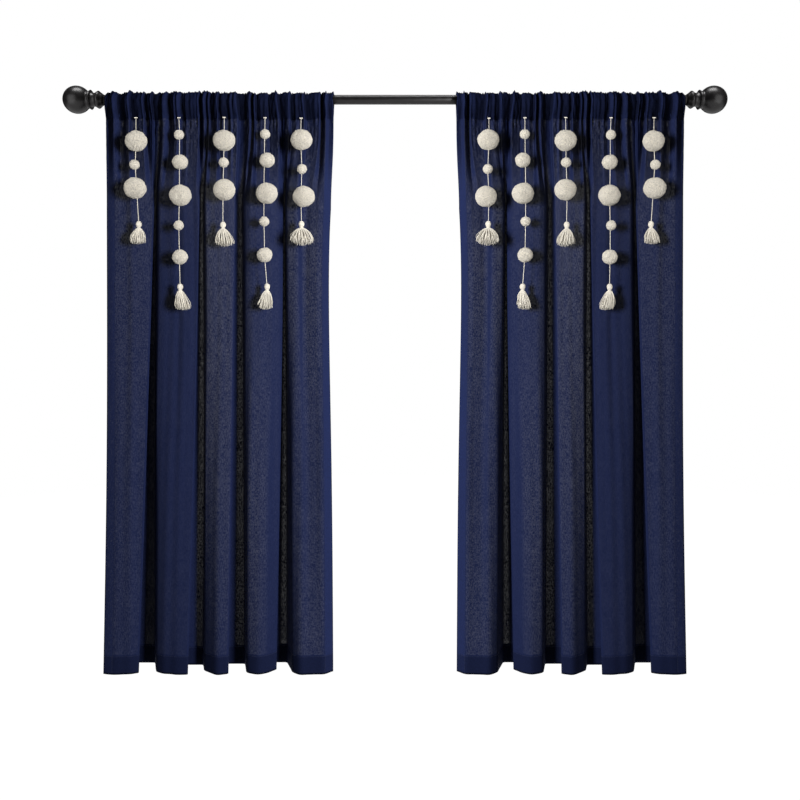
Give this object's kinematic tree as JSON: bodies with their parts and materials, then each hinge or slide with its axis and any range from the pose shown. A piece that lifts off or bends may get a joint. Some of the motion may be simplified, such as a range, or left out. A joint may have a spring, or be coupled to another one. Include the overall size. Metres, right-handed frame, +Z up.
{
  "type": "curtain pair on a rod",
  "caption": "Pair of semi sheer rod pocket curtains with strings of pompoms and tassels, gathered on a rod with ball finials.",
  "frame": {"origin": "middle of the rod, on its axis", "axes": "+X along the rod to the right as seen from the room, +Y towards the wall, +Z up"},
  "size_m": [1.824, 0.1387, 1.5978],
  "materials": {
    "navy_cloth": "matt plain weave voile with a fine slub, semi sheer in one layer and opaque where it is doubled",
    "ivory_yarn": "matt wool yarn, cut pile on the pompoms and loose strands on the tassels",
    "bronze_paint": "dark oil rubbed bronze, satin"
  },
  "bodies": {
    "root": {"panel_left": "navy_cloth", "panel_right": "navy_cloth", "rod": "bronze_paint", "finial_left": "bronze_paint", "finial_right": "bronze_paint", "string_left_1": "ivory_yarn", "pompom_left_1_1": "ivory_yarn", "pompom_left_1_2": "ivory_yarn", "pompom_left_1_3": "ivory_yarn", "string_left_2": "ivory_yarn", "pompom_left_2_1": "ivory_yarn", "pompom_left_2_2": "ivory_yarn", "pompom_left_2_3": "ivory_yarn", "pompom_left_2_4": "ivory_yarn", "pompom_left_2_5": "ivory_yarn", "string_left_3": "ivory_yarn", "pompom_left_3_1": "ivory_yarn", "pompom_left_3_2": "ivory_yarn", "pompom_left_3_3": "ivory_yarn", "string_left_4": "ivory_yarn", "pompom_left_4_1": "ivory_yarn", "pompom_left_4_2": "ivory_yarn", "pompom_left_4_3": "ivory_yarn", "pompom_left_4_4": "ivory_yarn", "pompom_left_4_5": "ivory_yarn", "string_left_5": "ivory_yarn", "pompom_left_5_1": "ivory_yarn", "pompom_left_5_2": "ivory_yarn", "pompom_left_5_3": "ivory_yarn", "string_right_1": "ivory_yarn", "pompom_right_1_1": "ivory_yarn", "pompom_right_1_2": "ivory_yarn", "pompom_right_1_3": "ivory_yarn", "string_right_2": "ivory_yarn", "pompom_right_2_1": "ivory_yarn", "pompom_right_2_2": "ivory_yarn", "pompom_right_2_3": "ivory_yarn", "pompom_right_2_4": "ivory_yarn", "pompom_right_2_5": "ivory_yarn", "string_right_3": "ivory_yarn", "pompom_right_3_1": "ivory_yarn", "pompom_right_3_2": "ivory_yarn", "pompom_right_3_3": "ivory_yarn", "string_right_4": "ivory_yarn", "pompom_right_4_1": "ivory_yarn", "pompom_right_4_2": "ivory_yarn", "pompom_right_4_3": "ivory_yarn", "pompom_right_4_4": "ivory_yarn", "pompom_right_4_5": "ivory_yarn", "string_right_5": "ivory_yarn", "pompom_right_5_1": "ivory_yarn", "pompom_right_5_2": "ivory_yarn", "pompom_right_5_3": "ivory_yarn"}
  },
  "joints": []
}
